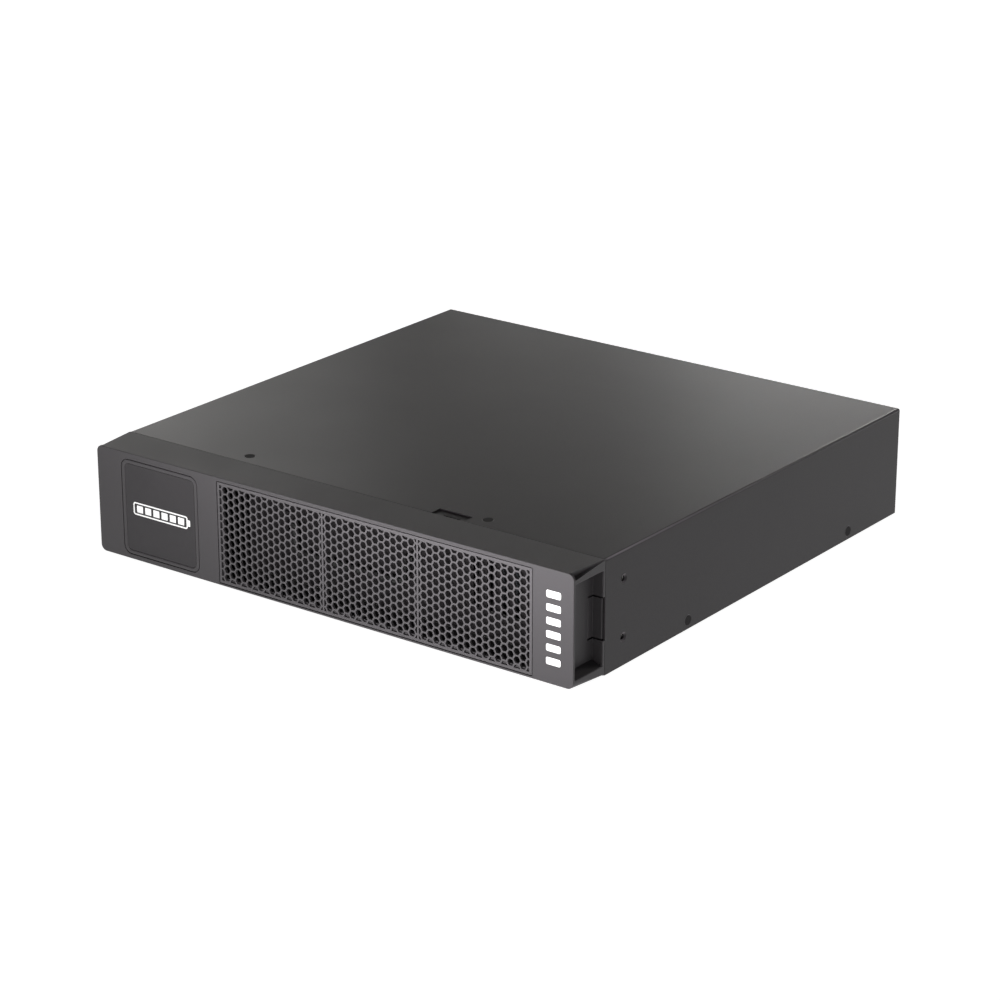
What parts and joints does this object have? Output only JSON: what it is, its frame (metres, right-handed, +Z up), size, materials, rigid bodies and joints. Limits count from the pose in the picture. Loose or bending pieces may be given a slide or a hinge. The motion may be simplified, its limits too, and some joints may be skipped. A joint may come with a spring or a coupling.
{
  "type": "external battery cabinet for an uninterruptible power supply",
  "caption": "Low rack-width battery cabinet of a UPS in charcoal steel, with a clip-on honeycomb bezel, square badge, finger pockets with latches and a slide-out battery tray.",
  "frame": {"origin": "middle of the footprint, on the surface the cabinet stands on", "axes": "+Z up, +X to the right seen from the front, +Y from the bezel to the rear panel"},
  "size_m": [0.438, 0.4354, 0.086],
  "materials": {
    "cover_paint": "charcoal textured powder coat",
    "bezel_plastic": "fine moulded texture, charcoal",
    "grille_plastic": "fine moulded texture, charcoal",
    "badge_label": "satin label, darker than the bezel",
    "print_white": "satin white print",
    "zinc_steel": "bright zinc plate",
    "black_steel": "black powder coat",
    "black_screw": "black zinc",
    "brass_terminal": "plain machined brass",
    "tinned_contact": "tinned brass",
    "connector_black": "moulded, satin",
    "toggle_white": "moulded, satin",
    "nylon": "natural nylon",
    "battery_case": "moulded ABS, matt",
    "plate_lead": "dull grey lead plates",
    "board_green": "solder mask, satin",
    "part_blue": "moulded, satin",
    "lead_red": "PVC insulation, satin",
    "lead_black": "PVC insulation, satin",
    "lead_white": "PVC insulation, satin",
    "foam": "closed-cell foam",
    "handle_black": "black powder coat",
    "fuse_yellow": "moulded, satin"
  },
  "bodies": {
    "chassis": {"base_pan": "cover_paint", "top_cover": "cover_paint", "front_frame": "cover_paint", "rear_panel": "cover_paint", "guide_rails": "zinc_steel", "glide_strips": "nylon", "cover_screws": "black_screw", "rear_screws": "black_screw", "ear_nuts": "zinc_steel", "dc_socket_left": "connector_black", "dc_socket_right": "connector_black", "socket_contacts": "tinned_contact", "breaker_body": "connector_black", "breaker_pin": "zinc_steel", "signal_jack": "connector_black", "sense_board": "board_green", "board_parts": "part_blue", "board_standoffs": "nylon", "ground_stud": "brass_terminal", "ground_nut": "brass_terminal", "dock_receptacle": "connector_black", "dock_pins": "brass_terminal", "dock_bracket": "zinc_steel", "cabinet_lead_positive": "lead_red", "cabinet_lead_negative": "lead_black", "sense_lead": "lead_white"},
    "breaker_rocker": {"breaker_toggle": "toggle_white"},
    "tray": {"tray_pan": "zinc_steel", "tray_front": "black_steel", "tray_screws": "black_screw", "handle_brackets": "black_steel", "foam_pads": "foam", "hold_down_bars": "zinc_steel", "battery_1": "battery_case", "battery_2": "battery_case", "battery_3": "battery_case", "battery_4": "battery_case", "battery_5": "battery_case", "battery_6": "battery_case", "battery_7": "battery_case", "battery_8": "battery_case", "battery_elements": "plate_lead", "battery_terminals": "tinned_contact", "terminal_boots": "nylon", "cell_links": "lead_black", "tray_lead_positive": "lead_red", "tray_lead_negative": "lead_black", "main_fuse": "fuse_yellow", "dock_plug": "connector_black"},
    "handle": {"tray_handle": "handle_black"},
    "bezel": {"bezel_frame": "bezel_plastic", "bezel_walls": "bezel_plastic", "bezel_ends": "bezel_plastic", "grille_insert": "grille_plastic", "bar_mark": "print_white"},
    "badge": {"badge_frame": "bezel_plastic", "badge_plate": "badge_label", "badge_symbol": "print_white"},
    "latch_left": {"latch_left": "bezel_plastic"},
    "latch_right": {"latch_right": "bezel_plastic"}
  },
  "joints": [
    {"name": "tray_slide", "type": "slide", "parent": "chassis", "child": "tray", "axis": [0, -1, 0], "range_m": [0, 0.34]},
    {"name": "bezel_pull", "type": "slide", "parent": "tray", "child": "bezel", "axis": [0, -1, 0], "range_m": [0, 0.06]},
    {"name": "badge_pull", "type": "slide", "parent": "bezel", "child": "badge", "axis": [0, -1, 0], "range_m": [0, 0.012]},
    {"name": "latch_right_flex", "type": "hinge", "parent": "bezel", "child": "latch_right", "pos_m": [0.2092, -0.18825, 0.043], "axis": [0, 0, 1], "range_deg": [0, 4], "stiffness_Nm_per_rad": 1.4},
    {"name": "latch_left_flex", "type": "hinge", "parent": "bezel", "child": "latch_left", "pos_m": [-0.2092, -0.18825, 0.043], "axis": [0, 0, -1], "range_deg": [0, 4], "stiffness_Nm_per_rad": 1.4},
    {"name": "handle_swing", "type": "hinge", "parent": "tray", "child": "handle", "pos_m": [0, -0.18825, 0.05], "axis": [-1, 0, 0], "range_deg": [0, 90]},
    {"name": "breaker_throw", "type": "hinge", "parent": "chassis", "child": "breaker_rocker", "pos_m": [0.07, 0.20525, 0.043], "axis": [1, 0, 0], "range_deg": [-34, 0]}
  ]
}
